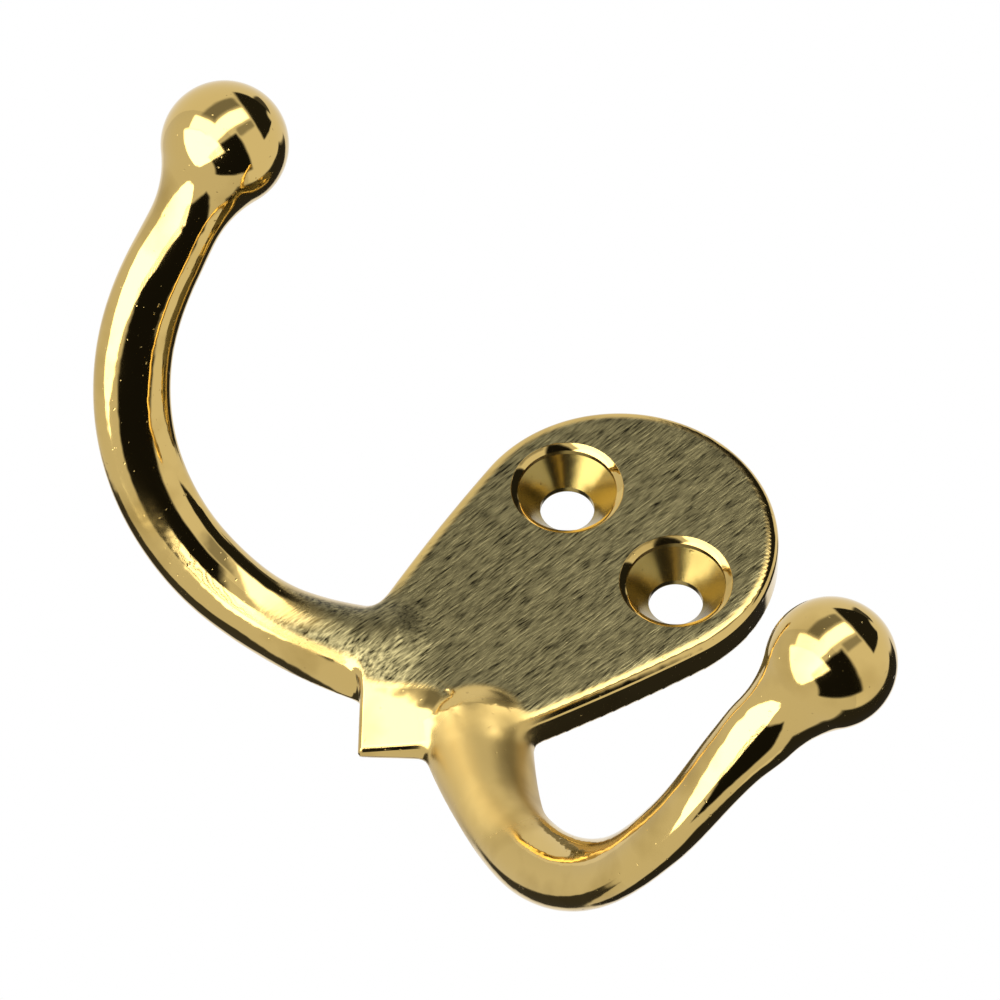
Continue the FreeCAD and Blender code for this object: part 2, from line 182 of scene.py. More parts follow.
def add_mesh(name: str, points: Array, faces: list) -> Object:
    """Put a mesh object in the scene.

    Args:
        name: the object's name.
        points: one point a row.
        faces: point numbers of each face.

    Returns:
        The object.
    """
    mesh = bpy.data.meshes.new(name)
    mesh.from_pydata(points.tolist(), [], faces)
    return add_object(name, mesh)


# Sub-assemblies


@dataclass
class SpadePlate:
    """The wall plate: round top, bulged flanks and a sloped V point.  Sizes are in mm."""

    thickness: float = 3.8
    # polished bevel round the front: width, slope in degrees, and how its two edges are rounded
    rim_width: float = 1.0
    rim_slope: float = 18.0
    rim_blend: float = 0.2
    edge_round: float = 0.6
    top_radius: float = 14.05
    top_drop: float = 0.25
    flank_radius: float = 200.0
    point_depth: float = 31.5
    point_half_width: float = 8.4
    corner_round: float = 0.35
    # below the screw line, where the bevel starts to fade towards the V point and where it is gone
    point_span: Pair = (21.0, 25.0)
    # the slope on the V's front: where it leaves the face, the height that it stays below, and
    # what it faces as (x, out, z)
    scoop_top: float = 24.4
    scoop_end: float = -23.0
    scoop_facing: Triple = (0.15, 0.92, -0.36)
    scoop_blend: float = 0.8
    back_round: float = 0.25
    # rays that find the rough outline: their start (x, z), number, length and halvings
    ray_start: Pair = (0.0, -8.0)
    rays: int = 160
    ray_length: float = 40.0
    halvings: int = 30

    def flank_centre(self) -> Array:
        """Centre of the right flank's circle, which touches the round top and ends at the V.

        Returns:
            Its x and z in mm.
        """
        top = np.array([0.0, -self.top_drop])
        shoulder = np.array([self.point_half_width, self.point_half_width - self.point_depth])
        across = self.flank_radius - self.top_radius
        down = shoulder - top
        reach = np.hypot(*down)
        corner = math.acos((across ** 2 + reach ** 2 - self.flank_radius ** 2) / (2 * across * reach))
        angle = math.atan2(down[1], down[0]) - corner
        return top + across * np.array([math.cos(angle), math.sin(angle)])

    def outline(self, x: Array, z: Array) -> Array:
        """Distance from the plate's outline, negative inside.

        Above the line from the flank's centre through the top's centre it is
        the distance to the top's circle, below it that to the flank's circle,
        cut by the two 45 degree lines of the V point.

        Args:
            x: across the plate, in mm.
            z: up the plate, in mm.

        Returns:
            Distances in mm.
        """
        side = np.abs(x)
        centre = self.flank_centre()
        top = np.hypot(x, z + self.top_drop) - self.top_radius
        flank = np.hypot(side - centre[0], z - centre[1]) - self.flank_radius
        turn = centre[1] + self.top_drop
        above = (z + self.top_drop) * -centre[0] + side * turn > 0.0
        rounded = np.where(above, top, flank)
        right = (x - z - self.point_depth) / math.sqrt(2.0)
        left = (-x - z - self.point_depth) / math.sqrt(2.0)
        point = round_corner(right, left, self.corner_round)
        return round_corner(rounded, point, self.corner_round)

    def field(self, p: Array) -> Array:
        """Signed distance to the plate: its outline carried from the wall to the front face.

        A shallow polished bevel runs round the front, and between the arms the
        front falls in one flat slope, turned a little to the right, to the thin
        tip of the V point.

        Args:
            p: points in mm, one row each.

        Returns:
            Distances in mm, negative inside.
        """
        x, out, z = p[:, 0], -p[:, 1], p[:, 2]
        level = out - self.thickness
        facing = np.array(self.scoop_facing) / np.linalg.norm(self.scoop_facing)
        scoop = x * facing[0] + level * facing[1] + (z + self.scoop_top) * facing[2]
        scoop = np.minimum(scoop, self.scoop_end - z)
        front = round_corner(level, scoop, self.scoop_blend)
        outline = self.outline(x, z)
        slope = math.radians(self.rim_slope)
        width = self.rim_width * (1.0 - ease(-z, *self.point_span))
        rim = (outline + width) * math.sin(slope) + level * math.cos(slope)
        front = round_corner(front, rim, self.rim_blend)
        body = round_corner(outline, front, self.edge_round)
        return round_corner(body, -out, self.back_round)

    def rough(self, hole_spacing: float, hole_radius: float) -> tuple:
        """Closed prism with two round holes, to start the mesh from.

        Rays from a point in the plate find its outline by halving, and each
        hole is a ring of points on a circle.  The front is filled between the
        rings, the back is the same fill turned over, and walls join the two.

        Args:
            hole_spacing: between the two holes, in mm.
            hole_radius: of each hole, in mm.

        Returns:
            Points in mm, one a row, and a list of arrays of faces.
        """
        angle = np.linspace(0.0, FULL_TURN, self.rays, endpoint=False)
        ray = np.stack([np.cos(angle), np.sin(angle)], 1)
        start = np.array(self.ray_start)
        low, high = np.zeros(self.rays), np.full(self.rays, self.ray_length)
        for _ in range(self.halvings):
            mid = (low + high) / 2
            at = ray * mid[:, None] + start
            inside = self.outline(at[:, 0], at[:, 1]) < 0
            low, high = np.where(inside, mid, low), np.where(inside, high, mid)
        rings = [ray * low[:, None] + start]
        rings += [ray[::-1] * hole_radius + [side.value * hole_spacing / 2, 0.0] for side in Side]
        flat = np.vstack(rings)
        count = len(flat)
        lifted = [np.column_stack([ring, np.zeros(self.rays)]).tolist() for ring in rings]
        fill = np.array(tessellate_polygon(lifted))
        i = np.arange(count)
        j = i - i % self.rays + (i + 1) % self.rays
        walls = np.column_stack([i, i + count, j + count, j])
        front = np.column_stack([flat[:, 0], np.full(count, -self.thickness), flat[:, 1]])
        back = np.column_stack([flat[:, 0], np.zeros(count), flat[:, 1]])
        return np.vstack([front, back]), [fill, fill[:, ::-1] + count, walls]


@dataclass
class BallArm:
    """One arm: three tangent bends in a tilted plane, an oval section, a flare and a ball.

    Sizes are in mm and angles in degrees.  The root is (x, y, z) on the right
    arm, and each bend is its radius and its turn.
    """

    root: Triple = (8.72, 2.08, -22.25)
    lean: float = 27.1
    swing: float = 43.2
    heading: float = -24.0
    bends: tuple = ((54.6, 7.7), (24.4, 91.6), (200.0, 1.0))
    root_shift: float = 3.2
    bow: float = 2.5
    root_radius: float = 4.9
    bend_half_width: float = 3.42
    bend_half_depth: float = 2.35
    neck_radius: float = 3.2
    flare: float = 8.9
    ball_radius: float = 5.59
    # search for the nearest point of the centre line: samples, points taken at a time,
    # Newton steps, least slope in a step, and how far past the ball a point may land
    samples: int = 90
    batch: int = 40000
    newton_steps: int = 3
    least_slope: float = 0.2
    overshoot: float = 20.0
    # rough tube: points round it, where it swells to the ball and where it ends, as shares,
    # and the least square of its radius in the ball
    spokes: int = 28
    swell_start: float = 0.55
    tip_share: float = 0.98
    least_square: float = 0.05

    def axes(self) -> tuple:
        """Unit vectors of the right arm's plane.

        Returns:
            Sideways, upwards, and square to the plane.
        """
        lean, swing = math.radians(self.lean), math.radians(self.swing)
        up = np.array([0.0, -math.sin(lean), math.cos(lean)])
        normal = np.array([0.0, -math.cos(lean), -math.sin(lean)])
        across = math.cos(swing) * np.array([1.0, 0.0, 0.0]) + math.sin(swing) * normal
        return across, up, np.cross(across, up)

    def length(self) -> float:
        """Length of the three bends, in mm."""
        return sum(radius * math.radians(turn) for radius, turn in self.bends)

    def ball_reach(self) -> float:
        """Distance from the end of the bends to the ball's centre, in mm."""
        return math.sqrt((self.flare + self.ball_radius) ** 2 - (self.neck_radius + self.flare) ** 2)

    def spine(self, s: Array) -> tuple:
        """Centre line in the arm's plane at each arc length.

        Each bend is an arc of a circle that starts where the last one ended,
        in its direction; past the last bend the line runs on straight.

        Args:
            s: arc lengths from the root, in mm.

        Returns:
            Points and unit tangents, one a row, and curvatures.
        """
        point = np.zeros((len(s), 2))
        tangent = np.zeros((len(s), 2))
        curve = np.zeros(len(s))
        start, angle, at = np.zeros(2), math.radians(self.heading), 0.0
        for number, (radius, degrees) in enumerate(self.bends):
            here = (s >= at) | (number == 0)
            a = angle + (s[here] - at) / radius
            centre = start + radius * np.array([-math.sin(angle), math.cos(angle)])
            point[here] = centre + radius * np.column_stack([np.sin(a), -np.cos(a)])
            tangent[here] = np.column_stack([np.cos(a), np.sin(a)])
            curve[here] = 1.0 / radius
            angle += math.radians(degrees)
            start = centre + radius * np.array([math.sin(angle), -math.cos(angle)])
            at += radius * math.radians(degrees)
        past = s > at
        ahead = np.array([math.cos(angle), math.sin(angle)])
        point[past] = start + (s[past] - at)[:, None] * ahead
        tangent[past] = ahead
        curve[past] = 0.0
        return point, tangent, curve

    def beside(self, flat: Array, s: Array) -> tuple:
        """Where points lie as seen from the centre line's points at given arc lengths.

        Args:
            flat: points in the arm's plane, in mm, one row each.
            s: one arc length for each, in mm.

        Returns:
            How far along the line and how far to the inside of its bends, in
            mm, and the line's curvatures.
        """
        point, tangent, curve = self.spine(s)
        off = flat - point
        along = np.sum(off * tangent, axis=1)
        inward = off[:, 1] * tangent[:, 0] - off[:, 0] * tangent[:, 1]
        return along, inward, curve

    def nearest(self, flat: Array) -> Array:
        """Arc length of the centre line's nearest point: the nearest sample, then Newton steps.

        Args:
            flat: points in the arm's plane, in mm, one row each.

        Returns:
            Arc lengths in mm.
        """
        total = self.length() + self.ball_reach()
        grid = np.linspace(0.0, total, self.samples)
        knots = self.spine(grid)[0]
        s = np.empty(len(flat))
        for first in range(0, len(flat), self.batch):
            part = flat[first:first + self.batch]
            gap = (part[:, :1] - knots[None, :, 0]) ** 2 + (part[:, 1:] - knots[None, :, 1]) ** 2
            s[first:first + self.batch] = grid[np.argmin(gap, axis=1)]
        for _ in range(self.newton_steps):
            along, inward, curve = self.beside(flat, s)
            slope = np.maximum(1.0 - curve * inward, self.least_slope)
            s = np.clip(s + along / slope, 0.0, total + self.overshoot)
        return s

    def stations(self) -> Array:
        """Arc length, half width, half depth and place off the plane at each section.

        Returns:
            One row for each section, in mm, from the root to the ball's neck.
        """
        long = [radius * math.radians(turn) for radius, turn in self.bends]
        wide = (self.root_radius, self.bend_half_width, self.neck_radius)
        deep = (self.root_radius, self.bend_half_depth, self.neck_radius)
        place = (self.root_shift, -self.bow)
        return np.array([
            [sum(long[:bend]) + long[bend] * share,
             np.dot(in_width, wide), np.dot(in_depth, deep), np.dot(in_place, place)]
            for bend, share, in_width, in_depth, in_place in STATIONS
        ])

    def section(self, s: Array) -> tuple:
        """Section at each arc length: a smooth curve through the stations.

        Between two stations it is the cubic with their values and slopes, the
        slopes being those of the parabola through each station and its two
        neighbours, and nothing changes past the ends.

        Args:
            s: arc lengths in mm.

        Returns:
            Half widths in the arm's plane, half depths square to it, and places
            off that plane towards the front, all in mm.
        """
        rows = self.stations()
        at, value = rows[:, 0], rows[:, 1:]
        step = np.diff(at)[:, None]
        rise = np.diff(value, axis=0) / step
        slope = np.zeros_like(value)
        slope[1:-1] = (rise[:-1] * step[1:] + rise[1:] * step[:-1]) / (step[1:] + step[:-1])
        slope[0] = 2 * rise[0] - slope[1]
        held = np.clip(s, at[0], at[-1])
        k = np.clip(np.searchsorted(at, held, side="right") - 1, 0, len(at) - 2)
        long = step[k]
        t = (held - at[k])[:, None] / long
        curve = (value[k] * (1 + 2 * t) * (1 - t) ** 2 + value[k + 1] * t ** 2 * (3 - 2 * t)
                 + slope[k] * long * t * (1 - t) ** 2 + slope[k + 1] * long * t ** 2 * (t - 1))
        return curve[:, 0], curve[:, 1], curve[:, 2]

    def tip(self, ahead: Array, rho: Array) -> Array:
        """Distance to the hollow flare or to the ball, whichever faces the point.

        Args:
            ahead: how far past the last bend, in mm.
            rho: how far from the centre line, in mm.

        Returns:
            Distances in mm, negative inside.
        """
        centre = self.neck_radius + self.flare
        hollow = self.flare - np.hypot(ahead, rho - centre)
        ball = np.hypot(ahead - self.ball_reach(), rho) - self.ball_radius
        beyond = self.ball_reach() * (rho - centre) + centre * ahead > 0.0
        return np.where(beyond, ball, hollow)

    def field(self, p: Array, side: Side) -> Array:
        """Signed distance to the arm.

        Along the bends it is the distance to the oval section at the nearest
        point of the centre line, to first order.  Behind the root it is the
        distance to a ball, and past the last bend that to the tip.

        Args:
            p: points in mm, one row each.
            side: which arm.

        Returns:
            Distances in mm, negative inside.
        """
        across, up, normal = self.axes()
        q = p * [side.value, 1.0, 1.0] - np.array(self.root)
        flat = np.column_stack([q @ across, q @ up])
        s = self.nearest(flat)
        along, inward, _ = self.beside(flat, s)
        wide, deep, place = self.section(s)
        depth = q @ normal - place
        tiny = 1e-9
        near = np.sqrt((inward / wide) ** 2 + (depth / deep) ** 2) + tiny
        steep = np.sqrt((inward / wide ** 2) ** 2 + (depth / deep ** 2) ** 2) + tiny
        rho = np.hypot(inward, depth)
        behind = np.sqrt(rho ** 2 + along ** 2) - self.root_radius
        tube = np.where(s <= 0.0, behind, near * (near - 1.0) / steep)
        ahead = s - self.length()
        return np.where(ahead <= 0.0, tube, self.tip(ahead, rho))

    def rough(self, side: Side) -> tuple:
        """Closed tube of rings along the arm, out to the ball, to start the mesh from.

        Args:
            side: which arm.

        Returns:
            Points in mm, one a row, and a list of arrays of faces.
        """
        across, up, normal = self.axes()
        reach = self.ball_reach()
        end = self.length() + reach + self.ball_radius * self.tip_share
        s = np.linspace(0.0, end, self.samples)
        point, tangent, _ = self.spine(s)
        wide, deep, place = self.section(s)
        ahead = s - self.length()
        ball = np.sqrt(np.maximum(self.ball_radius ** 2 - (ahead - reach) ** 2, self.least_square))
        swollen = ahead > reach * self.swell_start
        wide, deep = np.where(swollen, ball, wide), np.where(swollen, ball, deep)
        angle = np.linspace(0.0, FULL_TURN, self.spokes, endpoint=False)
        inward = np.column_stack([-tangent[:, 1], tangent[:, 0]])
        a = point[:, None, :] + inward[:, None, :] * (wide[:, None] * np.cos(angle))[..., None]
        b = place[:, None] + deep[:, None] * np.sin(angle)
        xyz = a[..., :1] * across + a[..., 1:] * up + b[..., None] * normal + np.array(self.root)
        xyz = (xyz * [side.value, 1.0, 1.0]).reshape(-1, 3)
        ring = np.arange(self.spokes)[None, :]
        faces = [grid_faces(self.samples, self.spokes, closed=True), ring[:, ::-1],
                 ring + len(xyz) - self.spokes]
        if side is Side.LEFT:
            faces = [block[:, ::-1] for block in faces]
        return xyz, faces


@dataclass
class HookCasting:
    """The whole casting: plate and arms joined by soft blends, one closed surface."""

    plate: SpadePlate
    arm: BallArm
    hole_spacing: float = 14.0
    hole_radius: float = 5.2
    # blends between the arms and the plate, and where one goes over into the other, out from the wall
    face_blend: float = 3.0
    back_blend: float = 1.2
    blend_span: Pair = (2.0, 4.5)
    # mesh: its voxels, the rounds that settle it, the steps over which slopes are taken, and
    # the least square of a slope
    voxel: float = 0.3
    settle_rounds: int = 5
    settle_step: float = 0.02
    normal_step: float = 0.01
    least_square: float = 0.25
    # where the belt and its dark satin colour run on over the left arm's root, painting the shade on
    # its underside: towards -X, and below the screw line
    root_shade_side_span: Pair = (-1.0, 5.0)
    root_shade_down_span: Pair = (16.0, 20.0)
    # how far inside the outline the belt's face starts, and what counts as the ground back
    rim_span: Pair = (0.7, 1.1)
    back_facing: Pair = (0.9, 0.98)
    back_level: Pair = (-0.2, -0.08)
    # the buffing wheel hardly gets into the corner between the right root and the plate
    hazy_spot: Triple = (11.0, -6.0, -26.0)
    hazy_reach: float = 10.5
    hazy_fade: float = 5.0

    def field(self, p: Array) -> Array:
        """Signed distance to the casting, with the cups' seats cut out.

        The blend between the plate and the arms is wide on the face, where the
        roots fade into it, and narrow towards the wall.

        Args:
            p: points in mm, one row each.

        Returns:
            Distances in mm, negative inside.
        """
        wider = ease(-p[:, 1], *self.blend_span)
        blend = self.back_blend + (self.face_blend - self.back_blend) * wider
        arms = soft_union(self.arm.field(p, Side.RIGHT), self.arm.field(p, Side.LEFT), blend)
        body = soft_union(self.plate.field(p), arms, blend)
        body = round_corner(body, p[:, 1], self.plate.back_round)
        place = np.abs(p[:, 0]) - self.hole_spacing / 2
        seat = self.hole_radius - np.hypot(place, p[:, 2])
        return np.maximum(body, seat)

    def gradient(self, p: Array, step: float) -> Array:
        """Slope of the field by central differences.

        Args:
            p: points in mm, one row each.
            step: half the distance over which a difference is taken, in mm.

        Returns:
            One slope for each point.
        """
        slope = np.empty_like(p)
        for axis in range(3):
            shift = np.zeros(3)
            shift[axis] = step
            slope[:, axis] = (self.field(p + shift) - self.field(p - shift)) / (2 * step)
        return slope

    def settle(self, p: Array) -> Array:
        """Pull points onto the surface: each moves along the slope by its distance.

        Args:
            p: points in mm, one row each.

        Returns:
            The points on the surface.
        """
        for _ in range(self.settle_rounds):
            slope = self.gradient(p, self.settle_step)
            square = np.maximum(np.sum(slope ** 2, axis=1), self.least_square)
            p = p - slope * (self.field(p) / square)[:, None]
        return p

    def brushed(self, p: Array, normals: Array) -> Array:
        """How far each point belongs to the belt-brushed face: 1 on the flat, 0 on the polish.

        It is 1 where the surface faces straight out at the face's height, and
        eases to 0 where the rim, the V's slope and the arms' roots turn away or
        rise above the face, because the belt touches only what is flat.  On the
        left it runs on some way up the arm's root, where the satin's dark colour
        is painted shade on the arm's underside.  The back, ground flat on the
        same belt, is 1 as well.

        Args:
            p: points in mm, one row each.
            normals: unit normals, one row each.

        Returns:
            Shares from 0 to 1.
        """
        level = -p[:, 1] - self.plate.thickness
        # the left arm's root, where the satin's dark colour paints the shade on its underside
        root = ease(-p[:, 0], *self.root_shade_side_span) * ease(-p[:, 2], *self.root_shade_down_span)
        reach = FACE_REACH[..., None] + (ROOT_SHADE_REACH - FACE_REACH)[..., None] * root
        facing, below, above = reach
        front = ease(-normals[:, 1], *facing) * ease(level, *below) * (1.0 - ease(level, *above))
        # the bevel round the front is polished
        inside = ease(-self.plate.outline(p[:, 0], p[:, 2]), *self.rim_span)
        back = ease(normals[:, 1], *self.back_facing) * ease(p[:, 1], *self.back_level)
        return np.maximum(front * np.maximum(root, inside), back)

    def hazy(self, p: Array) -> Array:
        """How dull each point's polish is: 1 round the hazy spot, easing to 0 at its reach."""
        away = np.linalg.norm(p - np.array(self.hazy_spot), axis=1)
        return ease(self.hazy_reach - away, 0.0, self.hazy_fade)

    def rough(self) -> Object:
        """Plate and arms as closed rough shells that cross each other, remeshed as one by voxels.

        Returns:
            An object in the scene, in mm.
        """
        points, faces, at = [], [], 0
        plate = self.plate.rough(self.hole_spacing, self.hole_radius)
        for part, blocks in (plate, self.arm.rough(Side.RIGHT), self.arm.rough(Side.LEFT)):
            points.append(part)
            for block in blocks:
                faces += (block + at).tolist()
            at += len(part)
        rough = add_mesh("hook_casting_rough", np.vstack(points), faces)
        remesh = rough.modifiers.new("voxels", "REMESH")
        remesh.mode = "VOXEL"
        remesh.voxel_size = self.voxel
        return rough

    def build(self, skin: Material) -> Object:
        """Voxel mesh of the rough shells, pulled onto the field, with the field's normals.

        Args:
            skin: the casting's finish.

        Returns:
            The casting's skin.
        """
        rough = self.rough()
        graph = bpy.context.evaluated_depsgraph_get()
        fine = bpy.data.meshes.new_from_object(rough.evaluated_get(graph))
        bpy.data.objects.remove(rough)
        p = np.empty(len(fine.vertices) * 3)
        fine.vertices.foreach_get("co", p)
        p = self.settle(p.reshape(-1, 3))
        normals = self.gradient(p, self.normal_step)
        normals /= np.linalg.norm(normals, axis=1)[:, None]
        fine.vertices.foreach_set("co", (p * MM).ravel())
        fine.update()
        fine.normals_split_custom_set_from_vertices(normals.tolist())
        set_share(fine, BRUSHED_SHEEN, self.brushed(p, normals))
        set_share(fine, HAZE, self.hazy(p))
        fine.materials.append(skin)
        fine.name = "hook_casting_skin"
        return add_object(fine.name, fine)


@dataclass
class ScrewCup:
    """Turned screw hole: polished lip, short step, countersink cone and bore.

    Sizes are in mm and angles in degrees; centre is the hole's x.
    """

    centre: float
    plate_thickness: float = 3.8
    bore: float = 4.8
    head_bore: float = 8.8
    head_depth: float = 0.9
    cone_angle: float = 82.0
    lip: float = 0.62
    lip_drop: float = 0.4
    lip_slopes: Pair = (27.0, 38.0)
    flange: float = 5.7
    # the flange stands this far out of the face, and the back this far off the wall
    proud: float = 0.004
    back_gap: float = 0.02
    # height in the bore at which the back's brushing has faded out
    back_edge: float = 0.12
    lip_points: int = 12
    cone_points: int = 8
    spokes: int = 128
    crisp_angle: float = 25.0

    def profile(self) -> tuple:
        """Radius and height out from the wall, round the cup's closed section.

        From the flange over the lip, an arc that gets steeper from its first
        slope to its last, down the step, down the cone and down the bore.  The
        section closes along the wall face.

        Returns:
            Radii and heights in mm.
        """
        top = self.plate_thickness + self.proud
        head, bore = self.head_bore / 2, self.bore / 2
        turn = np.linspace(*np.radians(self.lip_slopes), self.lip_points)
        across = (np.sin(turn) - math.sin(turn[0])) / (math.sin(turn[-1]) - math.sin(turn[0]))
        down = (math.cos(turn[0]) - np.cos(turn)) / (math.cos(turn[0]) - math.cos(turn[-1]))
        cone = np.linspace(0.0, 1.0, self.cone_points)
        cone_top = top - self.head_depth
        cone_depth = (head - bore) / math.tan(math.radians(self.cone_angle / 2))
        radii = [self.flange, self.flange, *(head + self.lip * (1.0 - across)),
                 *(head + (bore - head) * cone), bore, bore]
        heights = [self.back_gap, top, *(top - self.lip_drop * down),
                   *(cone_top - cone_depth * cone), self.back_edge, self.back_gap]
        return np.array(radii), np.array(heights)

    def build(self, name: str, skin: Material,
              bore: Material) -> Object:
        """Turn the section round the hole's axis into a closed ring.

        Args:
            name: the object's name.
            skin: the casting's finish, for the flange, the lip and the back.
            bore: the finish for the step, cone and bore, duller, with a darker colour that is painted
                shade in the recess.

        Returns:
            The cup.
        """
        r, h = self.profile()
        around = len(r)
        angle = np.linspace(0.0, FULL_TURN, self.spokes + 1)[:, None]
        points = np.stack([self.centre + r * np.cos(angle), np.broadcast_to(-h, (len(angle), around)),
                           r * np.sin(angle)], axis=-1)[:-1].reshape(-1, 3)
        # the last spoke is the first again, and the quads are turned over to face out
        faces = grid_faces(self.spokes + 1, around, closed=True)[:, ::-1] % len(points)
        cup = add_mesh(name, points * MM, faces.tolist())
        mesh = cup.data
        mesh.shade_smooth()
        number = np.arange(around)
        lip_start, lip_end, last = 2, 1 + self.lip_points, around - 1
        set_share(mesh, BRUSHED_SHEEN, np.tile((number <= lip_start) | (number == last), self.spokes))
        mesh.materials.append(skin)
        mesh.materials.append(bore)
        bored = (number >= lip_end) & (number < last)
        mesh.polygons.foreach_set("material_index", np.tile(bored, self.spokes).astype(np.int32))
        cup.modifiers.new("crisp", "EDGE_SPLIT").split_angle = math.radians(self.crisp_angle)
        return cup


# Finishes


def linear(code: str) -> tuple:
    """Linear colour, with alpha 1, of an sRGB hex value such as "c8a04a"."""
    part = [int(code[i:i + 2], 16) / 255 for i in (0, 2, 4)]
    return tuple(c / 12.92 if c <= 0.04045 else ((c + 0.055) / 1.055) ** 2.4 for c in part) + (1.0,)


def add_node(tree: NodeTree, kind: str, settings: dict | None = None,
             links: dict | None = None) -> Node:
    """Add one node with its settings and the links into its inputs.

    Args:
        tree: node tree that takes the node.
        kind: type name of the node.
        settings: attribute names, and input names or numbers, with what they are set to.
        links: input names or numbers, and the output sockets that feed them.

    Returns:
        The new node.
    """
    node = tree.nodes.new(kind)
    for name, value in (settings or {}).items():
        if isinstance(name, str) and hasattr(node, name):
            setattr(node, name, value)
        else:
            node.inputs[name].default_value = value
    for name, source in (links or {}).items():
        tree.links.new(source, node.inputs[name])
    return node


def empty_tree(owner: ID) -> NodeTree:
    """Node tree of a material or a world, with nothing in it.

    Args:
        owner: the material or world.

    Returns:
        Its tree.
    """
    owner.use_nodes = True
    owner.node_tree.nodes.clear()
    return owner.node_tree


@dataclass(frozen=True)
class CastBrass:
    """Yellow brass, sand cast: mirror-buffed by hand, with a belt-brushed satin face.

    The buffing leaves a bright mirror that is not quite even: the casting's
    slow waves bend what it mirrors, pinholes speckle it, and a thin tarnish
    dulls it in patches.  The belt leaves parallel scratches along the plate,
    and the face's olive satin colour, streaked with light and dark, is the
    brushed sheen painted in.

    Sizes and depths are in mm, and a range is what part of a pattern's values counts.
    """

    name: str = "buffed_cast_brass"
    polished: str = "d0b36e"
    tarnished: str = "a68a4a"
    # colours of the brushed face: painted sheen, dark and light streaks of reflection
    scratch_sheen_dark: str = "0e0c05"
    scratch_sheen_light: str = "9c9166"
    polished_roughness: Pair = (0.05, 0.13)
    brushed_roughness: Pair = (0.30, 0.46)
    haze_roughness: float = 0.32
    # a 120 grit belt cuts scratches of about 0.1 mm; drawn 0.2 mm wide, or they would not show
    scratch_width: float = 0.2
    scratch_length: float = 1.7
    scratch_depth: float = 0.06
    scratch_strength: float = 0.6
    scratch_range: Pair = (0.45, 0.9)
    streak_width: float = 0.7
    streak_length: float = 5.0
    streak_part: float = 0.35
    tarnish_patch: float = 7.0
    tarnish_range: Pair = (0.5, 0.75)
    tarnish_most: float = 0.7
    dull_range: Pair = (0.4, 0.75)
    wave: float = 3.0
    wave_depth: float = 0.09
    wave_strength: float = 0.5
    pinhole: float = 0.5
    pinhole_depth: float = 0.03
    pinhole_strength: float = 0.5
    pinhole_range: Pair = (0.22, 0.29)

    def stripes(self, tree: NodeTree, place: NodeSocket, width: float,
                length: float) -> NodeSocket:
        """Noise drawn out along Z.

        Args:
            tree: node tree that takes the nodes.
            place: Object coordinates, in metres.
            width: of one stripe, in mm.
            length: of one stripe, in mm.

        Returns:
            Socket with values round one half.
        """
        scale = (1 / (width * MM), 1 / (width * MM), 1 / (length * MM))
        stretch = add_node(tree, "ShaderNodeMapping", {"Scale": scale}, {"Vector": place})
        return add_node(tree, "ShaderNodeTexNoise", {"Scale": 1.0, "Detail": 2.0, "Roughness": 0.6},
                        {"Vector": stretch.outputs[0]}).outputs["Fac"]

    def relief(self, tree: NodeTree, place: NodeSocket, scratches: NodeSocket) -> NodeSocket:
        """Slow waves and pinholes in all the metal, and the scratches.

        Args:
            tree: node tree that takes the nodes.
            place: Object coordinates, in metres.
            scratches: height of the scratches, 0 off the brushed face.

        Returns:
            Normal socket.
        """
        waves = add_node(tree, "ShaderNodeTexNoise", {"Scale": 1 / (self.wave * MM), "Detail": 2.0},
                         {"Vector": place})
        swell = add_node(tree, "ShaderNodeBump",
                         {"Strength": self.wave_strength, "Distance": self.wave_depth * MM},
                         {"Height": waves.outputs["Fac"]})
        holes = add_node(tree, "ShaderNodeTexNoise", {"Scale": 1 / (self.pinhole * MM), "Detail": 2.0},
                         {"Vector": place})
        low, high = self.pinhole_range
        pit = add_node(tree, "ShaderNodeMapRange", {"From Min": low, "From Max": high},
                       {"Value": holes.outputs["Fac"]})
        pitted = add_node(tree, "ShaderNodeBump",
                          {"Strength": self.pinhole_strength, "Distance": self.pinhole_depth * MM},
                          {"Height": pit.outputs[0], "Normal": swell.outputs[0]})
        return add_node(tree, "ShaderNodeBump",
                        {"Strength": self.scratch_strength, "Distance": self.scratch_depth * MM},
                        {"Height": scratches, "Normal": pitted.outputs[0]}).outputs[0]

    def material(self) -> Material:
        """Metal shader that goes from the polish to the brushed face by the mesh's own share.

        Returns:
            The material.
        """
        material = bpy.data.materials.new(self.name)
        tree = empty_tree(material)
        place = add_node(tree, "ShaderNodeTexCoord").outputs["Object"]
        share = add_node(tree, "ShaderNodeAttribute", {"attribute_name": BRUSHED_SHEEN}).outputs["Fac"]
        fine = self.stripes(tree, place, self.scratch_width, self.scratch_length)
        broad = self.stripes(tree, place, self.streak_width, self.streak_length)
        both = add_node(tree, "ShaderNodeMath", {"operation": "MULTIPLY_ADD", 1: self.streak_part},
                        {0: broad, 2: fine}).outputs[0]
        patches = add_node(tree, "ShaderNodeTexNoise",
                           {"Scale": 1 / (self.tarnish_patch * MM), "Detail": 3.0},
                           {"Vector": place}).outputs["Fac"]
        # painted sheen of dark and light scratches on the face, gold with tarnished patches on the
        # polish
        low, high = self.scratch_range
        bright = add_node(tree, "ShaderNodeMapRange", {"From Min": low, "From Max": high},
                          {"Value": both}).outputs[0]
        colours = {"data_type": "RGBA", 6: linear(self.scratch_sheen_dark), 7: linear(self.scratch_sheen_light)}
        satin = add_node(tree, "ShaderNodeMix", colours, {0: bright}).outputs[2]
        low, high = self.tarnish_range
        settings = {"From Min": low, "From Max": high, "To Max": self.tarnish_most}
        dull = add_node(tree, "ShaderNodeMapRange", settings, {"Value": patches}).outputs[0]
        colours = {"data_type": "RGBA", 6: linear(self.polished), 7: linear(self.tarnished)}
        polish = add_node(tree, "ShaderNodeMix", colours, {0: dull}).outputs[2]
        colour = add_node(tree, "ShaderNodeMix", {"data_type": "RGBA"}, {0: share, 6: polish, 7: satin})
